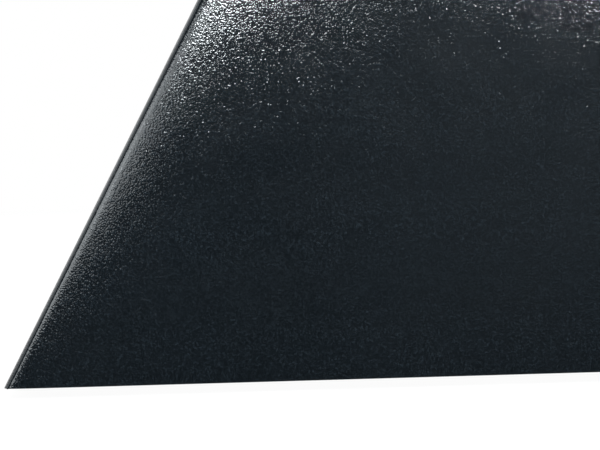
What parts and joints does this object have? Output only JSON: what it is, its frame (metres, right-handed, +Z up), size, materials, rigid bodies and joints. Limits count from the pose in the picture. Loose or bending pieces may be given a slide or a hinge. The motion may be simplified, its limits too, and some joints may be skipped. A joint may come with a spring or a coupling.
{
  "type": "slant board",
  "caption": "Fixed-slope slant board: closed wedge shell with a ribbed rubber tread deck, rubber feet and a folding carry handle recessed in its back panel.",
  "frame": {"origin": "on the floor, under the middle of the footprint", "axes": "+X down the slope towards the toe, +Y to the right of a user who stands facing up the slope, +Z up"},
  "size_m": [0.38, 0.36, 0.1654],
  "materials": {
    "shell_plastic": "satin",
    "handle_plastic": "satin",
    "base_plastic": "matte",
    "tread_rubber": "matte",
    "foot_rubber": "matte",
    "birch_ply": "matte",
    "screw_steel": "satin",
    "insert_brass": "satin"
  },
  "bodies": {
    "board": {"outer_shell": "shell_plastic", "grip_tread": "tread_rubber", "base_plate": "base_plastic", "base_screws": "screw_steel", "base_inserts": "insert_brass", "foot_washers": "screw_steel", "foot_screws": "screw_steel", "foot_inserts": "insert_brass", "handle_dish": "handle_plastic", "handle_pin_left": "screw_steel", "handle_pin_right": "screw_steel", "dish_screws": "screw_steel", "long_rib_left_outer": "birch_ply", "long_rib_left_inner": "birch_ply", "long_rib_centre": "birch_ply", "long_rib_right_inner": "birch_ply", "long_rib_right_outer": "birch_ply", "cross_rib_rear": "birch_ply", "cross_rib_middle": "birch_ply", "cross_rib_front": "birch_ply", "rear_left_foot": "foot_rubber", "rear_right_foot": "foot_rubber", "front_left_foot": "foot_rubber", "front_right_foot": "foot_rubber"},
    "handle": {"handle_bar": "handle_plastic"}
  },
  "joints": [
    {"name": "handle_swing", "type": "hinge", "parent": "board", "child": "handle", "pos_m": [-0.12478, 0, 0.10649], "axis": [0, 1, 0], "range_deg": [0, 118]}
  ]
}
